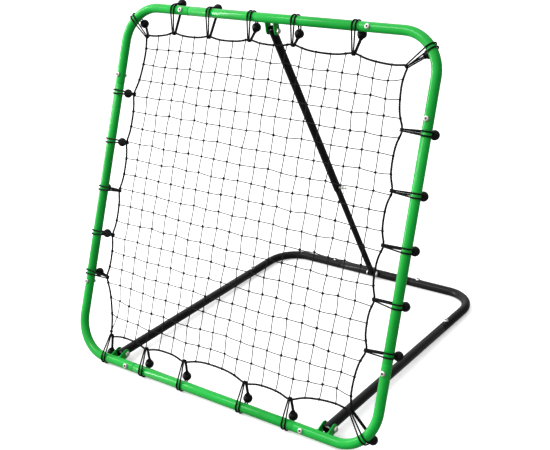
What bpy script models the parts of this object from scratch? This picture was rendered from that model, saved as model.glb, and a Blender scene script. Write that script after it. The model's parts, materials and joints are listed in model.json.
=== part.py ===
"""Pitch back rebounder: a square tube frame that leans back on a U-shaped base,
a knotted net laced into it with ball bungees, and one telescoping strut behind.

World axes: X along the bottom rail, Y from the net to the rear, Z up.  Metres.
"""
import math

import bmesh
import bpy
from mathutils import Matrix, Vector

# --- driving dimensions -------------------------------------------------------
FRAME_WIDTH = 0.975          # between the side rails' centrelines
FRAME_HEIGHT = 0.975         # between the bottom and top rails' centrelines
FRAME_BEND = 0.100           # centreline radius of the frame's corners
FRAME_SLEEVE = 0.1175        # straight stretch of a frame corner, to its seam
LEAN = math.radians(22.54)   # how far the net leans back from upright

TUBE_D = 0.025               # frame and base tube
TUBE_WALL = 0.0012
SWAGE_LENGTH = 0.045         # reduced tube end that slides into a corner
SWAGE_TAPER = 0.002
BOLT_INSET = 0.024           # joint bolt, from the seam into the corner

BASE_LENGTH = 0.773          # frame pivot to the rear cross tube's centreline
LEG_INSET = 0.1395           # a base leg's centreline, in from the side rail's
LEG_SPACING = FRAME_WIDTH - 2 * LEG_INSET
BASE_BEND = 0.090
BASE_LEG_SLEEVE = 0.122      # rear corner's straight stretch on the leg side
BASE_CROSS_SLEEVE = 0.131    # and on the cross tube side
LEG_OVERRUN = 0.010          # leg end past the pivot

FRAME_PIVOT = (TUBE_D + 0.001, 0.020)     # behind and above the bottom rail, in the net's plane
TOP_PIVOT = (0.017, -0.0286)     # behind and below the top rail, in the net's plane
REAR_PIVOT = (-TUBE_D / 2 - 0.0093, 0.0090)   # ahead of and above the rear cross tube

UPPER_STRUT_D = 0.022
STRUT_WALL = 0.0012
STRUT_PLAY = 0.0008          # all round, between the two strut tubes
LOWER_STRUT_D = UPPER_STRUT_D - 2 * (STRUT_WALL + STRUT_PLAY)
UPPER_STRUT_LENGTH = 0.578   # top pivot to the mouth
STRUT_OVERLAP = 0.090        # lower tube inside the upper one at rest
STRUT_OVERRUN = 0.010        # upper tube end past the top pivot
STRUT_FOOT = ((-0.006, 0.72), (-0.001, 1.0))     # rounded foot: place, share of the radius
TOP_HOLE_PLAY = 0.0028       # clearance of the strut's top hole round its bolt

EAR_THICKNESS = 0.003
EAR_PLAY = 0.0006            # between an ear and the tube it holds
EAR_ROOT_R = 0.010

JOINT_BOLT_D = 0.006
JOINT_HEAD_D = 0.014
JOINT_HEAD_H = 0.0045
JOINT_NUT_AF = 0.010
JOINT_NUT_H = 0.005
DOME_TOP = 0.56              # a bolt's domed head: its flat top, as a share of its diameter
DOME_EDGE = 0.45             # and the height of its edge, as a share of its own
HINGE_BOLT_D = 0.008
HINGE_HEAD_D = 0.016
HINGE_HEAD_H = 0.005
HINGE_NUT_AF = 0.013
HINGE_NUT_H = 0.0065

CORD_D = 0.004               # one of a bungee's two strands
CORD_PLAY = 0.0008           # between a strand and the tube it wraps
ROPE_PLAY = 0.0022           # between a strand and the rope, which runs askew in its loop
CORNER_ROOM = 0.0075         # more room where the rope turns a corner of the net
BALL_D = 0.024
BALL_PLAY = 0.0005           # between a ball and the tube it rests against
BALL_DEPTH = TUBE_D / 2 + BALL_D / 2 + BALL_PLAY     # its centre behind the net's plane
BALL_SEGMENTS = 8
BALL_RINGS = 5
ROPE_D = 0.005
# a border rope span's bow, as a share of its length
ROPE_SAG = {"top": 0.068, "right": 0.110, "bottom": 0.090, "left": 0.080}
ROPE_LEAD = 0.009            # the rope runs along the tube this far each side of a bungee
ROPE_LEAD_RISE = 0.0015      # and has drawn in this much towards the net by then
NET_THICKNESS = 0.0015
NET_GAP = 0.0033             # net edge to the rope's centreline
NET_NOTCH = 0.0105           # net edge to the rope's centreline at a bungee
CORNER_NOTCH = 0.0225        # and at a corner bungee, where the rope turns

PIN_D = 0.005                # locking pin
PIN_ABOVE_MOUTH = 0.012
PIN_BARREL_D = 0.012
PIN_BARREL_LENGTH = 0.012
PIN_COLLAR = 0.004           # full-width foot of the barrel
PIN_COLLAR_TAPER = 0.001
PIN_NECK = 0.84              # width of the rest, as a share of the foot's
PIN_EYE_D = 0.0065           # turned end that carries the ring
PIN_EYE_LENGTH = 0.008
PIN_EYE_INSET = 0.0035       # ring hole, in from the pin's end
RING_D = 0.020               # pull ring, outside
RING_WIRE_D = 0.002
RING_HOLE_D = 0.0040
RING_STEPS = 20

GAP = 0.0003                 # between faces that touch
BOLT_HOLE_R = JOINT_BOLT_D / 2 + GAP
HINGE_HOLE_R = HINGE_BOLT_D / 2 + GAP
PIN_HOLE_R = PIN_D / 2 + GAP
SIDES = 12                   # facets round a tube
HALF_FACET = math.pi / SIDES
FLAT = math.cos(HALF_FACET)  # a facet's distance from the axis, per unit radius
BEND_STEPS = 4
DRILL_SIDES = 6
CORD_SIDES = 6
ROPE_BEND_SIDES = 6          # facets of a strand's turn round the rope
BALL_BEND_SIDES = 4          # and of its turn inside the ball
SPAN_STEPS = 3               # rope lengths between two bungees
TUBE_REACH = 0.030           # a drill's half length, for a whole tube
EAR_REACH = 0.010            # and for one ear or the pin

TUBE_R = TUBE_D / 2
RAIL_Z = TUBE_R + CORD_PLAY + CORD_D     # the frame stands on the bungees' strands
CROSS_Z = TUBE_R * FLAT

# --- materials: colour, roughness, metallic ----------------------------------
FINISHES = {
    "green_coat": ((0.01, 0.50, 0.06), 0.30, 0.0),
    "black_coat": ((0.012, 0.012, 0.014), 0.35, 0.0),
    "zinc": ((0.66, 0.66, 0.63), 0.35, 1.0),
    "black_cord": ((0.015, 0.015, 0.016), 0.80, 0.0),
    "black_ball": ((0.014, 0.014, 0.015), 0.40, 0.0),
    "net_twine": ((0.02, 0.02, 0.02), 0.85, 0.0),
}


def material(name):
    """The named finish as a Principled material, made once."""
    found = bpy.data.materials.get(name)
    if found:
        return found
    colour, roughness, metallic = FINISHES[name]
    made = bpy.data.materials.new(name)
    made.use_nodes = True
    shader = made.node_tree.nodes["Principled BSDF"]
    shader.inputs["Base Color"].default_value = (*colour, 1.0)
    shader.inputs["Roughness"].default_value = roughness
    shader.inputs["Metallic"].default_value = metallic
    return made


def empty(name, parent=None, location=(0, 0, 0), turn_x=0.0):
    """A joint's or a group's own axes, turned about X."""
    made = bpy.data.objects.new(name, None)
    made.parent = parent
    made.location = location
    made.rotation_euler = (turn_x, 0, 0)
    bpy.context.collection.objects.link(made)
    return made


def piece(name, bm, finish, parent, matrix=Matrix()):
    """A finished sub-part from a bmesh, placed under its parent."""
    bmesh.ops.recalc_face_normals(bm, faces=bm.faces)
    mesh = bpy.data.meshes.new(name)
    bm.to_mesh(mesh)
    bm.free()
    mesh.shade_smooth()
    mesh.set_sharp_from_angle(angle=math.radians(40))
    mesh.materials.append(material(finish))
    made = bpy.data.objects.new(name, mesh)
    made.parent = parent
    made.matrix_local = matrix
    bpy.context.collection.objects.link(made)
    return made


def modify(bm, operation, other):
    """bm after an exact Boolean with another bmesh; both are used up."""
    objects = []
    for source in (bm, other):
        bmesh.ops.recalc_face_normals(source, faces=source.faces)
        mesh = bpy.data.meshes.new("boolean")
        source.to_mesh(mesh)
        source.free()
        objects.append(bpy.data.objects.new("boolean", mesh))
        bpy.context.collection.objects.link(objects[-1])
    body, tool = objects
    change = body.modifiers.new("change", "BOOLEAN")
    change.operation = operation
    change.solver = "EXACT"
    change.object = tool
    bpy.context.view_layer.update()
    result = bmesh.new()
    result.from_object(body, bpy.context.evaluated_depsgraph_get())
    for used in objects:
        mesh = used.data
        bpy.data.objects.remove(used)
        bpy.data.meshes.remove(mesh)
    bmesh.ops.remove_doubles(result, verts=result.verts, dist=1e-6)
    return result


def add_ring(bm, matrix, radii):
    """A loop of vertices round a matrix's Z axis; a hexagon when radii alternate."""
    count = len(radii)
    step = 2 * math.pi / count
    corners = []
    for index, radius in enumerate(radii):
        angle = (index + 0.5) * step
        corners.append(bm.verts.new(matrix @ Vector((radius * math.cos(angle),
                                                     radius * math.sin(angle), 0))))
    return corners


def skin(bm, rings, closed):
    """Quads between neighbouring rings, and end faces unless the row closes."""
    pairs = list(zip(rings, rings[1:]))
    if closed:
        pairs.append((rings[-1], rings[0]))
    for low, high in pairs:
        for index in range(len(low)):
            after = (index + 1) % len(low)
            bm.faces.new((low[index], low[after], high[after], high[index]))
    if not closed:
        bm.faces.new(reversed(rings[0]))
        bm.faces.new(rings[-1])


def turned(profile, matrix=Matrix(), sides=SIDES):
    """A solid turned about Z: profile is (z, radius) from end to end."""
    bm = bmesh.new()
    rings = [add_ring(bm, matrix @ Matrix.Translation((0, 0, z)), [radius] * sides)
             for z, radius in profile]
    skin(bm, rings, closed=False)
    return bm


def hollow(frames, outer, inner):
    """A pipe through frames, with its own outer and inner radius at each one."""
    bm = bmesh.new()
    outside = [add_ring(bm, frame, [radius] * SIDES) for frame, radius in zip(frames, outer)]
    inside = [add_ring(bm, frame, [radius] * SIDES) for frame, radius in zip(frames, inner)]
    skin(bm, outside + inside[::-1], closed=True)
    return bm


def along_x(x, turn=0.0):
    """Axes at x whose Z points along +X, with the facets turned about it."""
    turned_axes = Matrix(((0, 0, 1, 0), (1, 0, 0, 0), (0, 1, 0, 0), (0, 0, 0, 1)))
    return Matrix.Translation((x, 0, 0)) @ turned_axes @ Matrix.Rotation(turn, 4, "Z")


def swaged_tube(half_length, both_ends=True, start=None):
    """Frames and radii of a tube along X, stepped down where it enters a corner."""
    main, reduced = TUBE_R, TUBE_R - TUBE_WALL - GAP
    profile = [(half_length - SWAGE_TAPER, main), (half_length, reduced),
               (half_length + SWAGE_LENGTH, reduced)]
    if both_ends:
        stations = [(-x, radius) for x, radius in reversed(profile)] + profile
    else:
        stations = [(start, main)] + profile
    return stations


def straight_pipe(stations, turn=0.0):
    """A thin-walled pipe along X through (x, outer radius) stations."""
    return hollow([along_x(x, turn) for x, _ in stations],
                  [radius for _, radius in stations],
                  [radius - TUBE_WALL for _, radius in stations])


def corner_pipe(bend, leg_in, leg_out):
    """A pipe that comes up along +X, turns left to +Y, and ends; its bend starts at 0."""
    frames = [along_x(-leg_in)]
    for step in range(BEND_STEPS + 1):
        angle = math.pi / 2 * step / BEND_STEPS
        turn = Matrix.Translation((0, bend, 0)) @ Matrix.Rotation(angle, 4, "Z")
        frames.append(turn @ Matrix.Translation((0, -bend, 0)) @ along_x(0))
    frames.append(frames[-1] @ Matrix.Translation((0, 0, leg_out)))
    count = len(frames)
    return hollow(frames, [TUBE_R] * count, [TUBE_R - TUBE_WALL] * count)


def drill(bm, matrix, radius, reach=TUBE_REACH):
    """A through hole along a matrix's Z axis, with room for a round of the given radius."""
    across = radius / math.cos(math.pi / DRILL_SIDES)
    tool = turned([(-reach, across), (reach, across)], matrix, DRILL_SIDES)
    return modify(bm, "DIFFERENCE", tool)


def bolt(shank_d, head_d, head_h, nut_af, nut_h, grip, tail=0.0):
    """A domed bolt along +Z with its hex nut: the head's seat is at 0, the nut's at grip."""
    shank = shank_d / 2
    bm = bmesh.new()
    rings = [(-head_h, [head_d / 2 * DOME_TOP] * SIDES),
             (-head_h * DOME_EDGE, [head_d / 2] * SIDES),
             (0, [head_d / 2] * SIDES), (0, [shank] * SIDES), (grip, [shank] * SIDES)]
    corner = nut_af / math.sqrt(3)
    hexagon = [corner if index % 2 else nut_af / 2 for index in range(SIDES)]
    rings += [(grip, hexagon), (grip + nut_h, hexagon)]
    if tail:
        rings += [(grip + nut_h, [shank] * SIDES), (grip + nut_h + tail, [shank] * SIDES)]
    skin(bm, [add_ring(bm, Matrix.Translation((0, 0, z)), radii) for z, radii in rings],
         closed=False)
    return bm


def joint_bolt(name, parent, matrix, nut_inside=False):
    """A bolt through a tube joint, its head on the -Z side of the matrix."""
    seat = TUBE_R + GAP
    grip, tail = 2 * seat, 0.0
    if nut_inside:
        # The nut is welded in the inner tube, so nothing stands out of the far wall.
        bore = (TUBE_R - 2 * TUBE_WALL - GAP) * FLAT
        nut_end = math.sqrt(bore ** 2 - JOINT_NUT_AF ** 2 / 3) - GAP
        grip = seat + nut_end - JOINT_NUT_H
        tail = TUBE_R * FLAT - GAP - nut_end
    bm = bolt(JOINT_BOLT_D, JOINT_HEAD_D, JOINT_HEAD_H, JOINT_NUT_AF, JOINT_NUT_H, grip, tail)
    return piece(name, bm, "zinc", parent, matrix @ Matrix.Translation((0, 0, -seat)))


def ear_inner(tube_d):
    return tube_d / 2 + EAR_PLAY


def hinge_bolt(name, parent, location, tube_d):
    """A hinge bolt along X through two ears and the tube between them; nut at +X."""
    grip = 2 * (ear_inner(tube_d) + EAR_THICKNESS + GAP)
    bm = bolt(HINGE_BOLT_D, HINGE_HEAD_D, HINGE_HEAD_H, HINGE_NUT_AF, HINGE_NUT_H, grip)
    place = Matrix.Translation(location) @ along_x(-grip / 2)
    return piece(name, bm, "zinc", parent, place)


def convex(points):
    """The convex outline round 2-D points, in order."""
    points = sorted(set(points))

    def half(row):
        chain = []
        for point in row:
            while len(chain) > 1:
                (ax, ay), (bx, by) = chain[-2:]
                if (bx - ax) * (point[1] - ay) - (by - ay) * (point[0] - ax) > 1e-12:
                    break
                chain.pop()
            chain.append(point)
        return chain[:-1]
    return half(points) + half(points[::-1])


def disc(centre, radius, count, start=0.0):
    """Points round a 2-D circle."""
    return [(centre[0] + radius * math.cos(start + 2 * math.pi * index / count),
             centre[1] + radius * math.sin(start + 2 * math.pi * index / count))
            for index in range(count)]


def add_ears(bm, x, pivot, tip_r, tube_d, turn=0.0):
    """Two ears round x welded to the tube along X, with holes on the pivot (y, z)."""
    outline = convex(disc((0, 0), EAR_ROOT_R, SIDES) + disc(pivot, tip_r, SIDES))
    coping = TUBE_R - TUBE_WALL / 2
    for side in (-1, 1):
        ear = bmesh.new()
        inner = x + side * ear_inner(tube_d)
        rings = [[ear.verts.new((edge, y, z)) for y, z in outline]
                 for edge in (inner, inner + side * EAR_THICKNESS)]
        skin(ear, rings, closed=False)
        span = along_x(inner, turn)
        ear = modify(ear, "DIFFERENCE", turned([(-EAR_REACH, coping), (EAR_REACH, coping)], span))
        hole = Matrix.Translation((0, *pivot)) @ along_x(inner)
        ear = drill(ear, hole, HINGE_HOLE_R, EAR_REACH)
        bm = modify(bm, "UNION", ear)
    return bm


# --- groups: every moving group's empty lies on its joint's axis ---------------
for old in list(bpy.data.objects):
    bpy.data.objects.remove(old)

rebounder = empty("rebounder")
pivot_y = FRAME_PIVOT[0] * math.cos(LEAN) + FRAME_PIVOT[1] * math.sin(LEAN)
pivot_z = RAIL_Z + FRAME_PIVOT[1] * math.cos(LEAN) - FRAME_PIVOT[0] * math.sin(LEAN)
SLOPE = math.asin((pivot_z - CROSS_Z) / BASE_LENGTH)      # the legs fall to the rear
base = empty("base_group", rebounder, (0, pivot_y, pivot_z), -SLOPE)
frame_hinge = empty("frame_hinge", rebounder, (0, pivot_y, pivot_z), -LEAN)
net_plane = empty("net_plane", frame_hinge, (0, -FRAME_PIVOT[0], -FRAME_PIVOT[1]))

cross_line = Matrix.Translation((0, BASE_LENGTH, 0))
rear_pivot = Vector((0, BASE_LENGTH + REAR_PIVOT[0], REAR_PIVOT[1]))
to_world = Matrix.Translation((0, pivot_y, pivot_z))
rear_pivot_world = to_world @ Matrix.Rotation(-SLOPE, 4, "X") @ rear_pivot
top_pivot = Vector((0, TOP_PIVOT[0], FRAME_HEIGHT + TOP_PIVOT[1]))
top_pivot_world = (to_world @ Matrix.Rotation(-LEAN, 4, "X")
                   @ (top_pivot - Vector((0, *FRAME_PIVOT))))
strut_line = top_pivot_world - rear_pivot_world
STRUT_TILT = math.atan2(-strut_line.y, strut_line.z)
strut_foot = empty("strut_foot", rebounder, rear_pivot_world, STRUT_TILT)
mouth = strut_line.length - UPPER_STRUT_LENGTH
strut_slide = empty("strut_slide", strut_foot, (0, 0, mouth))

# --- net frame: four corners with straight rails swaged into them --------------
corner_x = FRAME_WIDTH / 2
seam_x = corner_x - FRAME_BEND - FRAME_SLEEVE
seam_h = FRAME_HEIGHT / 2 - FRAME_BEND - FRAME_SLEEVE


def frame_axes(x, h, turn):
    """Axes in the net's plane: local X along a rail, local Y towards the net."""
    return Matrix.Translation((x, 0, h)) @ Matrix.Rotation(math.pi / 2, 4, "X") \
        @ Matrix.Rotation(turn, 4, "Z")


SIDE_AXES = {
    "bottom": (frame_axes(0, 0, 0), seam_x),
    "right": (frame_axes(corner_x, FRAME_HEIGHT / 2, math.pi / 2), seam_h),
    "top": (frame_axes(0, FRAME_HEIGHT, math.pi), seam_x),
    "left": (frame_axes(-corner_x, FRAME_HEIGHT / 2, -math.pi / 2), seam_h),
}
CORNERS_AFTER = {"bottom": "bottom_right", "right": "top_right",
                 "top": "top_left", "left": "bottom_left"}

for side, (axes, seam) in SIDE_AXES.items():
    rail = straight_pipe(swaged_tube(seam - GAP))
    for end in (-1, 1):
        rail = drill(rail, Matrix.Translation((end * (seam + BOLT_INSET), 0, 0)), BOLT_HOLE_R)
        joint_bolt(f"{side}_joint_bolt_{1 if end < 0 else 2}", net_plane,
                   axes @ Matrix.Translation((end * (seam + BOLT_INSET), 0, 0))
                   @ Matrix.Rotation(math.pi, 4, "X"))
    if side == "top":
        # The axes are turned half a turn here, so up and down change places.
        rail = add_ears(rail, 0, (-TOP_PIVOT[1], -TOP_PIVOT[0]), UPPER_STRUT_D / 2,
                        UPPER_STRUT_D)
    piece(f"{side}_rail", rail, "green_coat", net_plane, axes)

    corner = corner_pipe(FRAME_BEND, FRAME_SLEEVE, FRAME_SLEEVE)
    bolt_in = FRAME_SLEEVE - BOLT_INSET
    corner = drill(corner, Matrix.Translation((-bolt_in, 0, 0)), BOLT_HOLE_R)
    corner = drill(corner, Matrix.Translation((FRAME_BEND, FRAME_BEND + bolt_in, 0)), BOLT_HOLE_R)
    bend_start = seam + FRAME_SLEEVE
    if side == "bottom":
        corner = add_ears(corner, LEG_SPACING / 2 - bend_start,
                          (FRAME_PIVOT[1], -FRAME_PIVOT[0]), TUBE_R, TUBE_D)
    if side == "left":
        flipped = Matrix.Translation((FRAME_BEND, FRAME_BEND, 0)) @ Matrix.Rotation(
            math.pi / 2, 4, "Z")
        corner.transform(flipped.inverted())
        corner = add_ears(corner, corner_x - FRAME_BEND - LEG_SPACING / 2,
                          (FRAME_PIVOT[1], -FRAME_PIVOT[0]), TUBE_R, TUBE_D)
        corner.transform(flipped)
    piece(f"{CORNERS_AFTER[side]}_corner", corner, "green_coat", net_plane,
          axes @ Matrix.Translation((bend_start, 0, 0)))

# --- hinge bolts and the base --------------------------------------------------
leg_seam = BASE_LENGTH - BASE_BEND - BASE_LEG_SLEEVE
cross_seam = LEG_SPACING / 2 - BASE_BEND - BASE_CROSS_SLEEVE
UPRIGHT = Matrix.Rotation(math.pi, 4, "X")               # bolt heads on top
BACKWARD = Matrix.Rotation(math.pi / 2, 4, "Z")          # local X points to the rear

for side, sign in (("left", -1), ("right", 1)):
    leg_x = sign * LEG_SPACING / 2
    leg = straight_pipe(swaged_tube(leg_seam - GAP, both_ends=False, start=-LEG_OVERRUN))
    leg = drill(leg, Matrix.Translation((leg_seam + BOLT_INSET, 0, 0)), BOLT_HOLE_R)
    leg = drill(leg, Matrix.Rotation(math.pi / 2, 4, "X"), HINGE_HOLE_R)
    piece(f"{side}_leg", leg, "black_coat", base, Matrix.Translation((leg_x, 0, 0)) @ BACKWARD)
    hinge_bolt(f"{side}_hinge_bolt", frame_hinge, (leg_x, 0, 0), TUBE_D)

    into, out = ((BASE_LEG_SLEEVE, BASE_CROSS_SLEEVE) if sign > 0
                 else (BASE_CROSS_SLEEVE, BASE_LEG_SLEEVE))
    corner = corner_pipe(BASE_BEND, into, out)
    corner = drill(corner, Matrix.Translation((-(into - BOLT_INSET), 0, 0)), BOLT_HOLE_R)
    corner = drill(corner, Matrix.Translation((BASE_BEND, BASE_BEND + out - BOLT_INSET, 0)),
                   BOLT_HOLE_R)
    if sign > 0:
        place = Matrix.Translation((leg_x, BASE_LENGTH - BASE_BEND, 0)) @ BACKWARD
    else:
        place = Matrix.Translation((leg_x + BASE_BEND, BASE_LENGTH, 0)) @ Matrix.Rotation(
            math.pi, 4, "Z")
    piece(f"rear_{side}_corner", corner, "black_coat", base, place)
    joint_bolt(f"{side}_leg_bolt", base,
               Matrix.Translation((leg_x, leg_seam + BOLT_INSET, 0)) @ UPRIGHT, True)
    joint_bolt(f"cross_bolt_{side}", base,
               Matrix.Translation((sign * (cross_seam + BOLT_INSET), BASE_LENGTH, 0)) @ UPRIGHT,
               True)

cross = straight_pipe(swaged_tube(cross_seam - GAP), turn=SLOPE)
for end in (-1, 1):
    cross = drill(cross, Matrix.Translation((end * (cross_seam + BOLT_INSET), 0, 0)), BOLT_HOLE_R)
cross = add_ears(cross, 0, REAR_PIVOT, LOWER_STRUT_D / 2, LOWER_STRUT_D, turn=SLOPE)
piece("rear_cross_tube", cross, "black_coat", base, cross_line)

# --- telescoping strut and its locking pin ---------------------------------------
lower_r = LOWER_STRUT_D / 2
upper_r = UPPER_STRUT_D / 2
LOWER_TOP = mouth + STRUT_OVERLAP
lower_steps = [(z, lower_r * share) for z, share in (*STRUT_FOOT, (LOWER_TOP, 1.0))]
lower = hollow([Matrix.Translation((0, 0, z)) for z, _ in lower_steps],
               [radius for _, radius in lower_steps],
               [radius - STRUT_WALL for _, radius in lower_steps])
CROSSWISE = Matrix.Rotation(math.pi / 2, 4, "Y")
lower = drill(lower, CROSSWISE, HINGE_HOLE_R)
piece("strut_lower_tube", lower, "black_coat", strut_foot)
hinge_bolt("rear_hinge_bolt", base, rear_pivot, LOWER_STRUT_D)
hinge_bolt("top_hinge_bolt", net_plane, top_pivot, UPPER_STRUT_D)

upper_frames = [Matrix.Translation((0, 0, z))
                for z in (0, UPPER_STRUT_LENGTH + STRUT_OVERRUN)]
upper = hollow(upper_frames, [upper_r] * 2, [upper_r - STRUT_WALL] * 2)
upper = drill(upper, Matrix.Translation((0, 0, UPPER_STRUT_LENGTH)) @ CROSSWISE,
              HINGE_BOLT_D / 2 + TOP_HOLE_PLAY)
pin_line = Matrix.Translation((0, 0, PIN_ABOVE_MOUTH)) @ CROSSWISE    # Z points to +X
upper = drill(upper, pin_line @ Matrix.Translation((0, 0, upper_r)), PIN_HOLE_R, upper_r / 2)
piece("strut_upper_tube", upper, "black_coat", strut_slide)

barrel_seat = upper_r + GAP
barrel_r = PIN_BARREL_D / 2
barrel = turned([(barrel_seat, barrel_r), (barrel_seat + PIN_COLLAR, barrel_r),
                 (barrel_seat + PIN_COLLAR + PIN_COLLAR_TAPER, barrel_r * PIN_NECK),
                 (barrel_seat + PIN_BARREL_LENGTH, barrel_r * PIN_NECK)])
barrel = drill(barrel, Matrix(), PIN_HOLE_R)
piece("pin_barrel", barrel, "zinc", strut_slide, pin_line)

pin_tip = lower_r + GAP
eye_seat = barrel_seat + PIN_BARREL_LENGTH + GAP
eye_end = eye_seat + PIN_EYE_LENGTH
pin = turned([(pin_tip, PIN_D / 2), (eye_seat, PIN_D / 2), (eye_seat, PIN_EYE_D / 2),
              (eye_end, PIN_EYE_D / 2)])
eye_x = eye_end - PIN_EYE_INSET
eye_axes = Matrix.Translation((0, 0, eye_x)) @ Matrix.Rotation(-STRUT_TILT, 4, "Z") \
    @ Matrix.Rotation(math.pi / 2, 4, "X")
pin = drill(pin, eye_axes, RING_HOLE_D / 2, EAR_REACH)
piece("locking_pin", pin, "zinc", strut_slide, pin_line)

ring_r = (RING_D - RING_WIRE_D) / 2
ring = bmesh.new()
ring_frames = [Matrix.Rotation(2 * math.pi * step / RING_STEPS, 4, "X")
               @ Matrix.Translation((0, 0, ring_r)) @ Matrix.Rotation(math.pi / 2, 4, "X")
               for step in range(RING_STEPS)]
ring_rows = [add_ring(ring, frame, [RING_WIRE_D / 2] * CORD_SIDES) for frame in ring_frames]
skin(ring, ring_rows, closed=True)
hang = Matrix.Translation((eye_x, 0, PIN_ABOVE_MOUTH)) @ Matrix.Rotation(-STRUT_TILT, 4, "X")
piece("pull_ring", ring, "zinc", strut_slide, hang @ Matrix.Translation((0, 0, -ring_r)))

# --- lacing: ball bungees, border rope and net -----------------------------------
# A station is counted along its side: 1 is the seam, 2 the bend's start, 3 the bend's end,
# all signed from the side's middle.  Then, from the tube at that station: the rope towards
# the net and along the side, and the ball's centre towards the net and along the side.
MM = 0.001
LACING = [
    ("top_left_corner_bungee", "top", 2.54, (61, -1), (14, 0)),
    ("top_bungee_1", "top", 1.44, (59, -6), (-21, 3)),
    ("top_bungee_2", "top", 0.73, (59, -5), (-16, 0)),
    ("top_bungee_3", "top", 0.22, (56, -3), (23, 0)),
    ("top_bungee_4", "top", -0.29, (56, -2), (29, 1)),
    ("top_bungee_5", "top", -0.95, (61, -5), (15, -3)),
    ("top_right_corner_bungee", "right", 2.45, (62, 0), (20, 3)),
    ("right_bungee_1", "right", 0.965, (58, 0), (-8, 0)),
    ("right_bungee_2", "right", 0.44, (58, 0), (-6, 0)),
    ("right_bungee_3", "right", -0.03, (57, 0), (-8, 0)),
    ("right_bungee_4", "right", -0.51, (57, 2), (-8, 0)),
    ("right_bungee_5", "right", -0.93, (55, -4), (-12, -2)),
    ("bottom_right_corner_bungee", "bottom", 2.53, (61, 6), (-11, 2)),
    ("bottom_bungee_4", "bottom", 0.90, (56, -2), (16, 0)),
    ("bottom_bungee_3", "bottom", 0.37, (57, 3), (19, 0)),
    ("bottom_bungee_2", "bottom", -0.37, (57, -5), (19, -7)),
    ("bottom_bungee_1", "bottom", -0.88, (55, -2), (16, -5)),
    ("bottom_left_corner_bungee", "bottom", -1.94, (56, 2), (10, -8)),
    ("left_bungee_5", "left", 0.99, (59, 2), (7, 0)),
    ("left_bungee_4", "left", 0.57, (57, -4), (14, 0)),
    ("left_bungee_3", "left", 0.10, (57, -2), (-14, 0)),
    ("left_bungee_2", "left", -0.40, (57, -3), (18, 0)),
    ("left_bungee_1", "left", -0.91, (56, 0), (13, 0)),
]


def station(side, count):
    """Axes on a side's centreline: local X along the tube, local Y towards the net."""
    axes, seam = SIDE_AXES[side]
    size, sign = abs(count), math.copysign(1, count)
    if size <= 1:
        return axes @ Matrix.Translation((count * seam, 0, 0))
    if size <= 2:
        return axes @ Matrix.Translation((sign * (seam + (size - 1) * FRAME_SLEEVE), 0, 0))
    centre = axes @ Matrix.Translation((sign * (seam + FRAME_SLEEVE), FRAME_BEND, 0))
    return centre @ Matrix.Rotation(sign * (size - 2) * math.pi / 2, 4, "Z") \
        @ Matrix.Translation((0, -FRAME_BEND, 0))


def bungee(name, place, rope_at, ball_at, turning):
    """Two strands side by side round tube, rope and ball, as one band with its ball."""
    reach, skew = rope_at
    ball_in, ball_along = ball_at
    band = CORD_D / 2 + CORD_PLAY
    rope_r = ROPE_D / 2 + ROPE_PLAY + CORD_D / 2 + (CORNER_ROOM if turning else 0)
    rope_in = reach + (CORNER_ROOM / 2 if turning else 0)
    loops = [(disc((0, 0), TUBE_R + band, SIDES, LEAN), 0.0),
             (disc((rope_in, 0), rope_r, ROPE_BEND_SIDES), skew),
             (disc((ball_in, -BALL_DEPTH), CORD_D, BALL_BEND_SIDES), ball_along)]
    shift = {point: step for points, step in loops for point in points}
    path = convex([point for points, _ in loops for point in points])
    bm = bmesh.new()
    rings = []
    for index, point in enumerate(path):
        before, after = Vector(path[index - 1]), Vector(path[(index + 1) % len(path)])
        heading = (after - before).normalized()
        outward = Vector((heading.y, -heading.x)) * CORD_D / 2
        row = []
        for across, away in ((-1, -1), (1, -1), (1, 1), (-1, 1)):
            row.append(bm.verts.new((shift[point] + across * (CORD_D + GAP / 2),
                                     point[0] + away * outward.x, point[1] + away * outward.y)))
        rings.append(row)
    skin(bm, rings, closed=True)
    ball = bmesh.new()
    bmesh.ops.create_uvsphere(ball, u_segments=BALL_SEGMENTS, v_segments=BALL_RINGS,
                              radius=BALL_D / 2,
                              matrix=Matrix.Translation((ball_along, ball_in, -BALL_DEPTH)))
    return piece(name, modify(bm, "UNION", ball), "black_ball", net_plane, place)


anchors = []
for name, side, count, rope_mm, ball_mm in LACING:
    place = station(side, count)
    turning = "corner" in name
    rope_at, ball_at = Vector(rope_mm) * MM, Vector(ball_mm) * MM
    bungee(name, place, rope_at, ball_at, turning)
    lead = [place @ Vector((rope_at.y + step, rope_at.x + ROPE_LEAD_RISE, 0))
            for step in (ROPE_LEAD, -ROPE_LEAD)]
    anchors.append((place @ Vector((rope_at.y, rope_at.x, 0)), turning, side, lead))

middle = Vector((0, 0, FRAME_HEIGHT / 2))
rope_points = []
net_points = []
for index, (start, turning, side, lead) in enumerate(anchors):
    end, _, next_side, _ = anchors[(index + 1) % len(anchors)]
    sag = ROPE_SAG[next_side if turning else side] * (end - start).length
    inward = (middle - (start + end) / 2).normalized()
    across = (end - start).normalized()
    inward -= across * inward.dot(across)
    inward.normalize()
    before = anchors[index - 1][0]
    side_in = (end - before).normalized().cross(Vector((0, 1, 0)))
    if side_in.dot(middle - start) < 0:
        side_in = -side_in
    rope_points += [lead[0], start, lead[1]]
    net_points.append(start + side_in * (CORNER_NOTCH if turning else NET_NOTCH))
    for step in range(1, SPAN_STEPS):
        share = step / SPAN_STEPS
        # The bungees pull the rope to points, so a bow is steep at its ends and flat between.
        bow = sag * (1 - abs(2 * share - 1) ** 3)
        point = start.lerp(end, share) + inward * bow
        rope_points.append(point)
        net_points.append(point + inward * NET_GAP)

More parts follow.
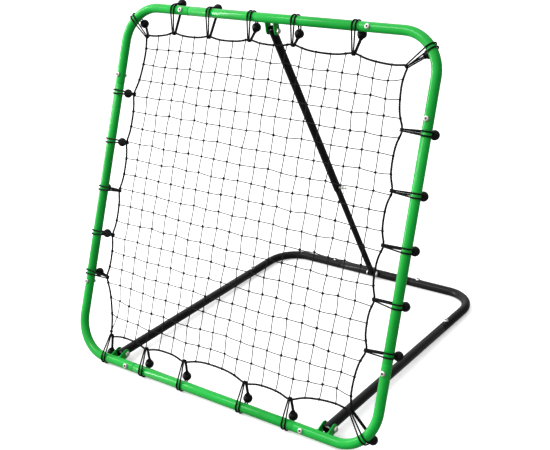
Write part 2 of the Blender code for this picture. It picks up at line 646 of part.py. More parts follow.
rope = bmesh.new()
rows = []
for index, point in enumerate(rope_points):
    before = rope_points[index - 1]
    after = rope_points[(index + 1) % len(rope_points)]
    heading = (after - before).normalized()
    behind = Vector((0, 1, 0))
    frame_matrix = Matrix.Translation(point) @ Matrix((
        (*behind, 0), (*heading.cross(behind), 0), (*heading, 0), (0, 0, 0, 1))).transposed()
    rows.append(add_ring(rope, frame_matrix, [ROPE_D / 2] * CORD_SIDES))
skin(rope, rows, closed=True)
piece("border_rope", rope, "black_cord", net_plane)

net = bmesh.new()
faces = [[net.verts.new(point + Vector((0, side * NET_THICKNESS / 2, 0)))
          for point in net_points] for side in (-1, 1)]
skin(net, faces, closed=False)
# Its front and back are fans from the middle, since the outline is scalloped.
bmesh.ops.poke(net, faces=[face for face in net.faces if len(face.verts) > 4])
piece("net", net, "net_twine", net_plane)

# --- the origin: middle of the footprint box, on the ground ----------------------
bpy.context.view_layer.update()
corners = [made.matrix_world @ vertex.co for made in bpy.data.objects if made.type == "MESH"
           for vertex in made.data.vertices]
lows = [min(point[axis] for point in corners) for axis in range(3)]
highs = [max(point[axis] for point in corners) for axis in range(3)]
rebounder.location = (-(lows[0] + highs[0]) / 2, -(lows[1] + highs[1]) / 2, -lows[2])
bpy.context.view_layer.update()
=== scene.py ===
import json
import math
import random

import bpy
from mathutils import Matrix, Vector


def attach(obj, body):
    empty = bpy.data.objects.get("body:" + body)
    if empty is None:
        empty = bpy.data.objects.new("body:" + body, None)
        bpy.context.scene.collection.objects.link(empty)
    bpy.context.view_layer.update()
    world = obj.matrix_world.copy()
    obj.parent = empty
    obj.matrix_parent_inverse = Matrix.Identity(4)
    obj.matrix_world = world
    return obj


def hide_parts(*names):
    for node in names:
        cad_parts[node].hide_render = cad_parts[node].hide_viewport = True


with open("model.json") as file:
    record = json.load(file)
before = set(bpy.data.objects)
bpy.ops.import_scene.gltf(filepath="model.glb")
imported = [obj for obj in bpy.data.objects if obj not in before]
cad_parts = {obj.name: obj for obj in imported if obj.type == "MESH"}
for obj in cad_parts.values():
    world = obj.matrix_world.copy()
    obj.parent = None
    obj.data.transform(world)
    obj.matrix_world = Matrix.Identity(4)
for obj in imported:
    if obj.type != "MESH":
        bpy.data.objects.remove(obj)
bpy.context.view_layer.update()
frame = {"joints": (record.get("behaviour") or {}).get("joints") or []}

# --- Studio -------------------------------------------------------------------
# A pale painted floor that runs off into a white surround.  The light is soft and
# comes from the upper left, so that each tube has a bright side and a dark one.
FLOOR_HALF = 40.0
FLOOR_DROP = 0.0005
FLOOR_GREY = 0.93
FLOOR_GLOW = 0.40
BRIGHT_SIDE = (-0.66, -0.30, 0.69)
GLOW_FROM, GLOW_TO = -0.35, 0.95
GLOW_LEAST, GLOW_MOST = 0.26, 1.45
LAMP_AIM = (0, 0, 0.45)
joints = {joint["name"]: joint for joint in frame["joints"]}
tilt_pivot = Vector(joints["frame_tilt"]["pos_m"])


class Wire:
    """A shader value that can be added, multiplied and so on."""

    def __init__(self, nodes, socket):
        self.nodes, self.socket = nodes, socket

    def maths(self, operation, first, second):
        return self.nodes.add("ShaderNodeMath", {"operation": operation}, {0: first, 1: second})

    def __add__(self, other):
        return self.maths("ADD", self, other)

    def __sub__(self, other):
        return self.maths("SUBTRACT", self, other)

    def __rsub__(self, other):
        return self.maths("SUBTRACT", other, self)

    def __mul__(self, other):
        return self.maths("MULTIPLY", self, other)

    __radd__ = __add__
    __rmul__ = __mul__


class Nodes:
    """A node tree, with one method that adds any node."""

    def __init__(self, tree):
        self.tree = tree

    def add(self, kind, settings=None, sockets=None, out=0):
        made = self.tree.nodes.new(kind)
        for name, value in (settings or {}).items():
            setattr(made, name, value)
        for name, value in (sockets or {}).items():
            self.feed(made.inputs[name], value)
        return Wire(self, made.outputs[out])

    def feed(self, socket, value):
        if isinstance(value, Wire):
            self.tree.links.new(value.socket, socket)
        else:
            socket.default_value = value

    def smooth(self, value, low, high, least=0.0, most=1.0):
        """least below low, most above high, and an easy slope between."""
        return self.add("ShaderNodeMapRange", {"interpolation_type": "SMOOTHSTEP"},
                        {0: value, 1: low, 2: high, 3: least, 4: most})


world = bpy.data.worlds.new("surround")
world.use_nodes = True
sky = Nodes(world.node_tree)
heading = sky.add("ShaderNodeTexCoord", out="Generated")
facing = sky.add("ShaderNodeVectorMath", {"operation": "DOT_PRODUCT"},
                 {0: heading, 1: BRIGHT_SIDE}, out="Value")
glow = sky.smooth(facing, GLOW_FROM, GLOW_TO, GLOW_LEAST, GLOW_MOST)
seen = sky.add("ShaderNodeLightPath", out="Is Camera Ray")
sky.feed(world.node_tree.nodes["Background"].inputs["Color"], (1.0, 1.0, 1.0, 1.0))
sky.feed(world.node_tree.nodes["Background"].inputs["Strength"],
         seen + (1 - seen) * glow)
bpy.context.scene.world = world
bpy.context.scene.view_settings.view_transform = "Standard"

floor_mesh = bpy.data.meshes.new("floor")
floor_mesh.from_pydata([(x * FLOOR_HALF, y * FLOOR_HALF, -FLOOR_DROP)
                        for x, y in ((-1, -1), (1, -1), (1, 1), (-1, 1))], [], [(0, 1, 2, 3)])
floor = bpy.data.objects.new("floor", floor_mesh)
bpy.context.collection.objects.link(floor)
floor_paint = bpy.data.materials.new("floor_paint")
floor_paint.use_nodes = True
floor_shader = floor_paint.node_tree.nodes["Principled BSDF"]
floor_shader.inputs["Base Color"].default_value = (FLOOR_GREY, FLOOR_GREY, FLOOR_GREY, 1.0)
floor_shader.inputs["Roughness"].default_value = 0.9
floor_shader.inputs["Specular IOR Level"].default_value = 0.0
floor_shader.inputs["Emission Color"].default_value = (1.0, 1.0, 1.0, 1.0)
floor_shader.inputs["Emission Strength"].default_value = FLOOR_GLOW
floor_mesh.materials.append(floor_paint)
floor.visible_diffuse = False
floor.visible_glossy = False


def lamp(name, place, size, watts):
    """A soft rectangular lamp turned towards the net's middle."""
    light = bpy.data.lights.new(name, "AREA")
    light.shape = "RECTANGLE"
    light.size, light.size_y = size
    light.energy = watts
    made = bpy.data.objects.new(name, light)
    made.location = place
    aim = Vector(LAMP_AIM) - Vector(place)
    made.rotation_euler = aim.to_track_quat("-Z", "Y").to_euler()
    bpy.context.collection.objects.link(made)


lamp("left_strip", (-3.0, -1.5, 1.4), (0.35, 2.6), 60)
lamp("top_box", (-1.4, -2.2, 3.2), (1.3, 1.3), 40)

# --- Camera -------------------------------------------------------------------
# Three-quarter view from the front right, a little above the net's middle, and
# rolled slightly.  Its place is measured from the hinge that the frame tilts on.
AZIMUTH, ELEVATION, ROLL = (math.radians(angle) for angle in (38.433, 21.746, -4.622))
FROM_PIVOT = (1.5863, -1.6761, 1.4521)
SENSOR_WIDTH = 36.0
LENS = 67.52
SHIFT_X, SHIFT_Y = -0.0087, -0.0645
lens = bpy.data.cameras.new("camera")
lens.sensor_width = SENSOR_WIDTH
lens.lens = LENS
lens.shift_x = SHIFT_X
lens.shift_y = SHIFT_Y
camera = bpy.data.objects.new("camera", lens)
camera.matrix_world = (Matrix.Translation(tilt_pivot + Vector(FROM_PIVOT))
                       @ Matrix.Rotation(AZIMUTH, 4, "Z")
                       @ Matrix.Rotation(math.pi / 2 - ELEVATION, 4, "X")
                       @ Matrix.Rotation(ROLL, 4, "Z"))
bpy.context.collection.objects.link(camera)
bpy.context.scene.camera = camera

# --- Green net frame: corners and rails ---------------------------------------
# Four bent corner tubes with four straight rails swaged into them, 25 mm steel
# tube with a gloss green powder coat.  Each seam is a narrow groove.
FRAME_SIZE = 0.975
FRAME_BEND = 0.100
FRAME_SLEEVE = 0.1175
LEAN = math.radians(22.54)
FRAME_PIVOT = (0.026, 0.020)
TUBE_R = 0.0125
TUBE_WALL = 0.0012
SWAGE_LENGTH = 0.045
SWAGE_TAPER = 0.002
LIP = 0.0004
GAP = 0.0003
TUBE_SIDES = 40
BEND_STEPS = 16

net_plane = (Matrix.Translation(tilt_pivot) @ Matrix.Rotation(-LEAN, 4, "X")
             @ Matrix.Translation((0, -FRAME_PIVOT[0], -FRAME_PIVOT[1])))
half_frame = FRAME_SIZE / 2
seam = half_frame - FRAME_BEND - FRAME_SLEEVE


class Paint(Nodes):
    """A material on a Principled shader."""

    def __init__(self, name, roughness, shine, metallic=0.0, coat=0.0):
        self.material = bpy.data.materials.new(name)
        self.material.use_nodes = True
        super().__init__(self.material.node_tree)
        self.shader = self.tree.nodes["Principled BSDF"]
        self.shader.inputs["Roughness"].default_value = roughness
        self.shader.inputs["Specular IOR Level"].default_value = shine
        self.shader.inputs["Metallic"].default_value = metallic
        self.shader.inputs["Coat Weight"].default_value = coat
        self.shader.inputs["Coat Roughness"].default_value = 0.10

    def noise(self, scale, detail=3.0):
        place = self.add("ShaderNodeTexCoord", out="Object")
        return self.add("ShaderNodeTexNoise", {}, {"Vector": place, "Scale": scale,
                                                   "Detail": detail})

    def blend(self, share, first, second):
        """The colour first where share is 0, and second where it is 1."""
        return self.add("ShaderNodeMix", {"data_type": "RGBA"},
                        {0: share, 6: (*first, 1.0), 7: (*second, 1.0)}, out=2)

    def surface(self, colour, roughness):
        self.feed(self.shader.inputs["Base Color"], colour)
        self.feed(self.shader.inputs["Roughness"], roughness)

    def bumped(self, height, depth, strength):
        bump = self.add("ShaderNodeBump", {}, {"Height": height, "Distance": depth,
                                               "Strength": strength})
        self.feed(self.shader.inputs["Normal"], bump)


def powder_coat(name, deep, light, gloss, coat):
    """Sprayed and baked paint: fine orange peel, a slightly thinner film in places."""
    paint = Paint(name, gloss, 0.12, coat=coat)
    film = paint.smooth(paint.noise(9.0, 2.0), 0.35, 0.65)
    peel = paint.noise(900.0, 2.0)
    dust = paint.smooth(paint.noise(2600.0, 1.0), 0.66, 0.78)
    paint.surface(paint.blend(film, deep, light),
                  gloss + 0.10 * paint.noise(60.0, 4.0) + 0.15 * dust)
    paint.bumped(peel, 0.00012, 0.3)
    return paint.material


green_coat = powder_coat("green_powder_coat", (0.0, 0.360, 0.030), (0.001, 0.430, 0.042),
                         0.22, 0.34)


def ring(matrix, radius, sides=TUBE_SIDES):
    return [matrix @ Vector((radius * math.cos(2 * math.pi * index / sides),
                             radius * math.sin(2 * math.pi * index / sides), 0))
            for index in range(sides)]


class Shape:
    """Skins over rows of rings, with U round a ring and V along the row in metres."""

    def __init__(self):
        self.points, self.faces, self.uvs = [], [], []
        self.second_material, self.second_faces = None, ()

    def loft(self, rings, closed=False):
        first, count = len(self.points), len(rings[0])
        for row in rings:
            self.points += row
        centres = [sum(row, Vector()) / count for row in rings]
        along = 0.0
        spans = len(rings) if closed else len(rings) - 1
        for low in range(spans):
            high = (low + 1) % len(rings)
            ahead = along + (centres[high] - centres[low]).length
            for index in range(count):
                after = (index + 1) % count
                self.faces.append([first + low * count + index, first + low * count + after,
                                   first + high * count + after, first + high * count + index])
                self.uvs += [(index / count, along), ((index + 1) / count, along),
                             ((index + 1) / count, ahead), (index / count, ahead)]
            along = ahead
        if not closed:
            for row, order in ((0, -1), (len(rings) - 1, 1)):
                self.faces.append([first + row * count + index for index in range(count)][::order])
                self.uvs += [(index / count, 0.0) for index in range(count)]

    def place(self, name, material, slot, body, *nodes, sharp=40):
        mesh = bpy.data.meshes.new(name)
        mesh.from_pydata([tuple(point) for point in self.points], [], self.faces)
        layer = mesh.uv_layers.new(name="UVMap")
        layer.data.foreach_set("uv", [part for uv in self.uvs for part in uv])
        mesh.shade_smooth()
        mesh.set_sharp_from_angle(angle=math.radians(sharp))
        mesh.materials.append(material)
        if self.second_material:
            mesh.materials.append(self.second_material)
            for face in self.second_faces:
                mesh.polygons[face].material_index = 1
        made = bpy.data.objects.new(name, mesh)
        bpy.context.collection.objects.link(made)
        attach(made, body)
        if nodes:
            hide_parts(*nodes)
        return made


def pipe(shape, stations):
    """An open pipe through (matrix, outside radius, inside radius) stations."""
    shape.loft([ring(matrix, outer) for matrix, outer, _ in stations]
               + [ring(matrix, inner) for matrix, _, inner in reversed(stations)], closed=True)


def along_x(x):
    return Matrix.Translation((x, 0, 0)) @ Matrix(((0, 0, 1, 0), (1, 0, 0, 0), (0, 1, 0, 0),
                                                   (0, 0, 0, 1)))


def rounded_ends(stations):
    """The stations with a small rounded lip added at both ends."""
    (first, outer, inner), (last, last_outer, last_inner) = stations[0], stations[-1]
    shift = Matrix.Translation((0, 0, LIP))
    return ([(first, outer - LIP, inner), (first @ shift, outer, inner)] + stations[1:-1]
            + [(last @ shift.inverted(), last_outer, last_inner),
               (last, last_outer - LIP, last_inner)])


def straight_tube(axes, low, high, swaged=(True, True), radius=TUBE_R):
    """A tube along local X, with its swaged ends past low and high."""
    stations = []
    reduced = radius - TUBE_WALL - GAP
    profile = [(SWAGE_LENGTH, reduced), (GAP, reduced), (-SWAGE_TAPER, radius)]
    for place, sign, reduce in ((low, -1, swaged[0]), (high, 1, swaged[1])):
        end = [(place + sign * step, size) for step, size in profile] if reduce \
            else [(place, radius)]
        stations += end if sign < 0 else end[::-1]
    shape = Shape()
    pipe(shape, rounded_ends([(axes @ along_x(x), size, size - TUBE_WALL)
                              for x, size in stations]))
    return shape


def bent_tube(axes, bend, leg_in, leg_out):
    """A tube that comes up along local X and turns left; its bend starts at 0."""
    stations = [axes @ along_x(-leg_in)]
    for step in range(BEND_STEPS + 1):
        angle = math.pi / 2 * step / BEND_STEPS
        turn = Matrix.Translation((0, bend, 0)) @ Matrix.Rotation(angle, 4, "Z")
        stations.append(axes @ turn @ Matrix.Translation((0, -bend, 0)) @ along_x(0))
    stations.append(stations[-1] @ Matrix.Translation((0, 0, leg_out)))
    shape = Shape()
    pipe(shape, rounded_ends([(matrix, TUBE_R, TUBE_R - TUBE_WALL) for matrix in stations]))
    return shape


def side_axes(x, h, turn):
    """Local X along a side of the frame, local Y towards the net, local Z to the front."""
    return net_plane @ Matrix.Translation((x, 0, h)) @ Matrix.Rotation(math.pi / 2, 4, "X") \
        @ Matrix.Rotation(turn, 4, "Z")


sides = {
    "bottom": side_axes(0, 0, 0),
    "right": side_axes(half_frame, half_frame, math.pi / 2),
    "top": side_axes(0, FRAME_SIZE, math.pi),
    "left": side_axes(-half_frame, half_frame, -math.pi / 2),
}
corner_after = {"bottom": "bottom_right", "right": "top_right", "top": "top_left",
                "left": "bottom_left"}
for side, axes in sides.items():
    straight_tube(axes, -seam, seam).place(f"{side}_rail_tube", green_coat, "green_coat",
                                           "frame", f"{side}_rail")
    corner = corner_after[side]
    bent_tube(axes @ Matrix.Translation((seam + FRAME_SLEEVE, 0, 0)), FRAME_BEND,
              FRAME_SLEEVE, FRAME_SLEEVE).place(f"{corner}_corner_tube", green_coat,
                                                "green_coat", "frame", f"{corner}_corner")

# --- Frame joint bolts --------------------------------------------------------
# Bright zinc button-head bolts, one at each end of each rail, put in from the
# front, with a chamfered hex nut and a little thread behind.
JOINT_BOLT_INSET = 0.024
JOINT_BOLT_D = 0.006
JOINT_HEAD_D = 0.014
JOINT_HEAD_HEIGHT = 0.0045
JOINT_NUT_AF = 0.010
JOINT_NUT_HEIGHT = 0.005
JOINT_TAIL = 0.0015
BOLT_SIDES = 24
DOME_STEPS = 6
# The head: its socket and flat rim as shares of its width, the rest of its height.
SOCKET_SHARE = 0.36
RIM_SHARE = 0.27
SOCKET_FLOOR = 0.35
SOCKET_MOUTH = 0.80
SOCKET_CHAMFER = 0.84
CHAMFER_SHARE = 0.64
DOME_FOOT = 0.22
HEAD_EDGE = 0.0006
SEAT_EASE = 0.0003
NUT_CHAMFER = 0.0009
NUT_FACE_SHARE = 0.48
NUT_PLAY = 0.0001
THREAD_DEPTH = 0.0005
THREAD_PITCH = 0.001


def zinc_plate(name, dull, bright, gloss):
    """Zinc plating: cloudy patches, and the fine scratches of tumbling."""
    paint = Paint(name, gloss, 0.5, metallic=1.0)
    scratches = paint.noise(420.0, 3.0)
    clouds = paint.smooth(paint.noise(70.0, 3.0), 0.3, 0.7)
    paint.surface(paint.blend(clouds, dull, bright), gloss - 0.08 + 0.22 * scratches)
    paint.bumped(scratches, 0.00008, 0.3)
    return paint.material


zinc = zinc_plate("bright_zinc", (0.62, 0.62, 0.58), (0.84, 0.84, 0.81), 0.30)
# Darker zinc for the hex socket: painted shade, the shade that falls in the recess coloured into its
# walls, chamfer and floor.
socket_shade_zinc = zinc_plate("zinc_with_painted_socket_shade", (0.16, 0.13, 0.10), (0.30, 0.26, 0.21), 0.50)


def hexagon(matrix, across):
    """A hexagon's outline with as many points as a bolt's rings."""
    points = []
    for index in range(BOLT_SIDES):
        angle = 2 * math.pi * index / BOLT_SIDES
        reach = across / 2 / math.cos((angle % (math.pi / 3)) - math.pi / 6)
        points.append(matrix @ Vector((reach * math.cos(angle), reach * math.sin(angle), 0)))
    return points


def bolt(matrix, shank, head, head_height, grip, nut, nut_height, tail):
    """A bolt along local Z, its head's seat at 0 and its nut's seat at grip."""
    shape = Shape()

    def at(z, radius):
        return ring(matrix @ Matrix.Translation((0, 0, z)), radius, BOLT_SIDES)

    def hex_at(z, across):
        return hexagon(matrix @ Matrix.Translation((0, 0, z)), across)

    socket = head * SOCKET_SHARE
    rim = head * RIM_SHARE
    rows = [hex_at(-head_height * SOCKET_FLOOR, socket),
            hex_at(-head_height * SOCKET_MOUTH, socket),
            at(-head_height * SOCKET_CHAMFER, socket * CHAMFER_SHARE), at(-head_height, rim)]
    for step in range(1, DOME_STEPS + 1):
        angle = math.pi / 2 * step / DOME_STEPS
        rows.append(at(-head_height * (DOME_FOOT + (1 - DOME_FOOT) * math.cos(angle)),
                       rim + (head / 2 - rim) * math.sin(angle)))
    rows += [at(-HEAD_EDGE, head / 2), at(0, head / 2 - SEAT_EASE), at(0, shank / 2)]
    shape.loft(rows + [at(grip, shank / 2)])
    # The socket's walls, chamfer and floor take the darker zinc, painted shade for the recess.
    shape.second_material = socket_shade_zinc
    shape.second_faces = [*range(2 * BOLT_SIDES), len(shape.faces) - 2]
    if nut:
        bore = shank / 2 + NUT_PLAY
        face = nut * NUT_FACE_SHARE
        shape.loft([at(grip, bore), at(grip, face), hex_at(grip + NUT_CHAMFER, nut),
                    hex_at(grip + nut_height - NUT_CHAMFER, nut), at(grip + nut_height, face),
                    at(grip + nut_height, bore)])
    crest, root, pitch = shank / 2, shank / 2 - THREAD_DEPTH, THREAD_PITCH
    rows = [at(grip, crest)]
    for turn in range(int((nut_height + tail) / pitch)):
        rows += [at(grip + (turn + 0.3) * pitch, crest), at(grip + (turn + 0.7) * pitch, root)]
    rows += [at(grip + nut_height + tail - 0.0004, crest), at(grip + nut_height + tail, root)]
    shape.loft(rows)
    return shape


half_turn = Matrix.Rotation(math.pi, 4, "X")
for side, axes in sides.items():
    for end in (-1, 1):
        name = f"{side}_joint_bolt_{1 if end < 0 else 2}"
        place = (axes @ Matrix.Translation((end * (seam + JOINT_BOLT_INSET), 0, 0)) @ half_turn
                 @ Matrix.Translation((0, 0, -TUBE_R)))
        bolt(place, JOINT_BOLT_D, JOINT_HEAD_D, JOINT_HEAD_HEIGHT, 2 * TUBE_R,
             JOINT_NUT_AF, JOINT_NUT_HEIGHT, JOINT_TAIL).place(
            f"{name}_zinc", zinc, "zinc", "frame", name)

# --- Clevis ears --------------------------------------------------------------
# Pairs of 3 mm steel ears welded to a tube, with rounded tips and eased edges: two
# pairs near the ground, one pair under the top rail, one pair on the rear tube.
EAR_THICKNESS = 0.003
EAR_PLAY = 0.0006
EAR_EASE = 0.0005
BEAD_R = 0.0016


def hull(points):
    """The convex outline round 2-D points, anticlockwise."""
    points = sorted(set(points))

    def half(row):
        chain = []
        for point in row:
            while len(chain) > 1:
                (ax, ay), (bx, by) = chain[-2:]
                if (bx - ax) * (point[1] - ay) - (by - ay) * (point[0] - ax) > 1e-12:
                    break
                chain.pop()
            chain.append(point)
        return chain[:-1]
    return half(points) + half(points[::-1])


def disc(centre, radius, count, start=0.0):
    return [(centre[0] + radius * math.cos(start + 2 * math.pi * index / count),
             centre[1] + radius * math.sin(start + 2 * math.pi * index / count))
            for index in range(count)]


def inset(outline, amount):
    """A convex outline drawn in by amount."""
    moved = []
    for index, point in enumerate(outline):
        before, after = Vector(outline[index - 1]), Vector(outline[(index + 1) % len(outline)])
        heading = (after - before).normalized()
        moved.append((point[0] - heading.y * amount, point[1] + heading.x * amount))
    return moved


def clevis(axes, pivot, tip, held, bead_seed):
    """Two ears either side of local X = 0, from the tube's centreline to a pivot (y, z)."""
    outline = hull(disc((0, 0), 0.0100, 24) + disc(pivot, tip, 36))
    eased = inset(outline, EAR_EASE)
    shape = Shape()
    chance = random.Random(bead_seed)
    for sign in (-1, 1):
        inner = held + EAR_PLAY
        levels = [(inner, eased), (inner + EAR_EASE, outline),
                  (inner + EAR_THICKNESS - EAR_EASE, outline), (inner + EAR_THICKNESS, eased)]
        rows = [[axes @ Vector((sign * x, y, z)) for y, z in edge] for x, edge in levels]
        shape.loft(rows if sign > 0 else rows[::-1])
        toward = math.atan2(pivot[1], pivot[0])
        for face in (inner - 0.0003, inner + EAR_THICKNESS + 0.0003):
            bead = []
            for step in range(-9, 10):
                angle = toward + step * 0.11
                swell = BEAD_R * (0.9 + 0.25 * chance.random()) * (0.35 if abs(step) == 9 else 1)
                centre = (TUBE_R + 0.0002) * Vector((math.cos(angle), math.sin(angle)))
                spot = axes @ Matrix.Translation((sign * face, centre.x, centre.y)) \
                    @ Matrix.Rotation(angle, 4, "X")
                bead.append(ring(spot, swell, 8))
            shape.loft(bead)
    return shape


LEG_X = 0.348
for sign, corner in ((-1, "bottom_left"), (1, "bottom_right")):
    axes = sides["bottom"] @ Matrix.Translation((sign * LEG_X, 0, 0))
    clevis(axes, (FRAME_PIVOT[1], -FRAME_PIVOT[0]), TUBE_R, TUBE_R, 3 + sign).place(
        f"{corner}_clevis", green_coat, "green_coat", "frame", sharp=30)
TOP_PIVOT = (0.017, -0.0286)
UPPER_R = 0.011
clevis(sides["top"], (-TOP_PIVOT[1], -TOP_PIVOT[0]), UPPER_R, UPPER_R, 9).place(
    "top_clevis", green_coat, "green_coat", "frame", sharp=30)

# --- Black base ---------------------------------------------------------------
# A U of 25 mm tube on the ground: two legs, two rear corners and the cross tube,
# gloss black powder coat, bolted from above into nuts welded in the tube.
BASE_LENGTH = 0.773
BASE_BEND = 0.090
BASE_LEG_SLEEVE = 0.122
BASE_CROSS_SLEEVE = 0.131
LEG_OVERRUN = 0.010
BASE_BOLT_GRIP = 0.016
BASE_BOLT_TAIL = 0.002

cross_z = TUBE_R * math.cos(math.pi / 12)
slope = math.asin((tilt_pivot.z - cross_z) / BASE_LENGTH)
base = Matrix.Translation(tilt_pivot) @ Matrix.Rotation(-slope, 4, "X")
leg_seam = BASE_LENGTH - BASE_BEND - BASE_LEG_SLEEVE
cross_seam = LEG_X - BASE_BEND - BASE_CROSS_SLEEVE
backward = Matrix.Rotation(math.pi / 2, 4, "Z")

black_coat = powder_coat("black_powder_coat", (0.002, 0.002, 0.0025), (0.005, 0.005, 0.006),
                         0.26, 0.12)

for name, sign in (("left", -1), ("right", 1)):
    leg_axes = base @ Matrix.Translation((sign * LEG_X, 0, 0)) @ backward
    straight_tube(leg_axes, -LEG_OVERRUN, leg_seam, (False, True)).place(
        f"{name}_leg_tube", black_coat, "black_coat", "base", f"{name}_leg")
    if sign > 0:
        place = base @ Matrix.Translation((LEG_X, BASE_LENGTH - BASE_BEND, 0)) @ backward
        lengths = BASE_LEG_SLEEVE, BASE_CROSS_SLEEVE
    else:
        place = base @ Matrix.Translation((BASE_BEND - LEG_X, BASE_LENGTH, 0)) \
            @ Matrix.Rotation(math.pi, 4, "Z")
        lengths = BASE_CROSS_SLEEVE, BASE_LEG_SLEEVE
    bent_tube(place, BASE_BEND, *lengths).place(f"rear_{name}_corner_tube", black_coat,
                                                "black_coat", "base", f"rear_{name}_corner")
    spots = {f"{name}_leg_bolt": (sign * LEG_X, leg_seam + JOINT_BOLT_INSET, TUBE_R),
             f"cross_bolt_{name}": (sign * (cross_seam + JOINT_BOLT_INSET), BASE_LENGTH, TUBE_R)}
    for node, spot in spots.items():
        bolt(base @ Matrix.Translation(spot) @ half_turn, JOINT_BOLT_D, JOINT_HEAD_D,
             JOINT_HEAD_HEIGHT, BASE_BOLT_GRIP, 0, 0, BASE_BOLT_TAIL).place(
            f"{node}_zinc", zinc, "zinc", "base", node)
cross_axes = base @ Matrix.Translation((0, BASE_LENGTH, 0))
straight_tube(cross_axes, -cross_seam, cross_seam).place(
    "rear_cross_pipe", black_coat, "black_coat", "base", "rear_cross_tube")
REAR_PIVOT = (-0.0218, 0.0090)
LOWER_R = 0.009
clevis(cross_axes, REAR_PIVOT, LOWER_R, LOWER_R, 12).place(
    "rear_clevis", black_coat, "black_coat", "base", sharp=30)

# --- Hinge bolts --------------------------------------------------------------
# 8 mm zinc bolts through each pair of ears and the tube between them, with the
# nut on the right-hand side.  The frame tilts and the strut swings on them.
HINGE_BOLT_D = 0.008
HINGE_HEAD_D = 0.016
HINGE_HEAD_HEIGHT = 0.005
HINGE_NUT_AF = 0.013
HINGE_NUT_HEIGHT = 0.0065
HINGE_TAIL = 0.001

rear_pivot = Vector(joints["strut_swing"]["pos_m"])
top_pivot = net_plane @ Vector((0, TOP_PIVOT[0], FRAME_SIZE + TOP_PIVOT[1]))
for node, centre, held, body in (
        ("left_hinge_bolt", tilt_pivot + Vector((-LEG_X, 0, 0)), TUBE_R, "frame"),
        ("right_hinge_bolt", tilt_pivot + Vector((LEG_X, 0, 0)), TUBE_R, "frame"),
        ("top_hinge_bolt", top_pivot, UPPER_R, "frame"),
        ("rear_hinge_bolt", rear_pivot, LOWER_R, "base")):
    reach = held + EAR_PLAY + EAR_THICKNESS
    bolt(Matrix.Translation(centre) @ along_x(-reach), HINGE_BOLT_D, HINGE_HEAD_D,
         HINGE_HEAD_HEIGHT, 2 * reach, HINGE_NUT_AF, HINGE_NUT_HEIGHT, HINGE_TAIL).place(
        f"{node}_zinc", zinc, "zinc", body, node)

# --- Telescoping strut --------------------------------------------------------
# A 22 mm upper tube hung from the top rail, with an 18 mm lower tube sliding in
# its open mouth, both gloss black.  The lower tube's foot is crimped narrower.
UPPER_LENGTH = 0.578
STRUT_OVERLAP = 0.090
STRUT_OVERRUN = 0.010

strut_axis = Vector(joints["strut_slide"]["axis"])
strut_tilt = math.atan2(-strut_axis.y, strut_axis.z)
strut = Matrix.Translation(rear_pivot) @ Matrix.Rotation(strut_tilt, 4, "X")
mouth = (top_pivot - rear_pivot).length - UPPER_LENGTH


def up_strut(z):
    return strut @ Matrix.Translation((0, 0, z))


lower = Shape()
pipe(lower, [(up_strut(z), radius, radius - TUBE_WALL) for z, radius in
             ((-0.0062, 0.0064), (-0.0060, 0.0068), (-0.0045, 0.0078), (-0.0025, 0.0086),
              (0.0, LOWER_R), (mouth + STRUT_OVERLAP, LOWER_R))])
lower.place("lower_strut_pipe", black_coat, "black_coat", "strut_lower", "strut_lower_tube")
upper = Shape()
pipe(upper, rounded_ends([(up_strut(z), UPPER_R, UPPER_R - TUBE_WALL)
                          for z in (mouth, mouth + UPPER_LENGTH + STRUT_OVERRUN)]))
upper.place("upper_strut_pipe", black_coat, "black_coat", "strut_upper", "strut_upper_tube")

# --- Locking pin --------------------------------------------------------------
# A zinc barrel on the right of the strut's mouth with a sprung pin in it; the
# pin's turned end has an eye that carries a wire pull ring.
PIN_ABOVE_MOUTH = 0.012
PIN_R = 0.0025
BARREL_LENGTH = 0.012
EYE_R = 0.00325
EYE_LENGTH = 0.008
EYE_BACK = 0.0035
RING_R = 0.009
RING_WIRE_R = 0.001

pin_line = up_strut(mouth + PIN_ABOVE_MOUTH) @ Matrix.Rotation(math.pi / 2, 4, "Y")
seat = UPPER_R + GAP


def turned(axes, profile, count=BOLT_SIDES):
    """Rings for a turned piece along local Z, from (z, radius) points."""
    return [ring(axes @ Matrix.Translation((0, 0, z)), radius, count) for z, radius in profile]


barrel = Shape()
bore = PIN_R + GAP
hex_rows = [hexagon(pin_line @ Matrix.Translation((0, 0, seat + z)), across)
            for z, across in ((0.0004, 0.0112), (0.0036, 0.0112))]
barrel.loft(turned(pin_line, [(seat, bore), (seat, 0.0050)]) + hex_rows
            + turned(pin_line, [(seat + 0.0040, 0.0050), (seat + 0.0044, 0.0046),
                                (seat + 0.0050, 0.0050), (seat + BARREL_LENGTH - 0.0012, 0.0050),
                                (seat + BARREL_LENGTH, 0.0041), (seat + BARREL_LENGTH, bore)]),
            closed=True)
barrel.place("pin_barrel_zinc", zinc, "zinc", "strut_upper", "pin_barrel", sharp=25)

eye_seat = seat + BARREL_LENGTH + GAP
eye_end = eye_seat + EYE_LENGTH
pin = Shape()
pin.loft(turned(pin_line, [(LOWER_R + GAP, PIN_R * 0.7), (LOWER_R + 0.0008, PIN_R),
                           (eye_seat, PIN_R), (eye_seat, EYE_R - 0.0004),
                           (eye_seat + 0.0004, EYE_R), (eye_end - EYE_BACK - 0.0022, EYE_R),
                           (eye_end - 0.0012, EYE_R * 0.96), (eye_end - 0.0004, EYE_R * 0.7),
                           (eye_end, EYE_R * 0.3)]))
pin.place("locking_pin_zinc", zinc, "zinc", "lock_pin", "locking_pin", sharp=25)

eye = Vector(joints["ring_swing"]["pos_m"])
loop = Shape()
loop.loft([ring(Matrix.Translation(eye - Vector((0, 0, RING_R)))
                @ Matrix.Rotation(2 * math.pi * step / 48, 4, "X")
                @ Matrix.Translation((0, 0, RING_R)) @ Matrix.Rotation(math.pi / 2, 4, "X"),
                RING_WIRE_R, 12) for step in range(48)], closed=True)
loop.place("pull_ring_wire", zinc, "zinc", "ring", "pull_ring")

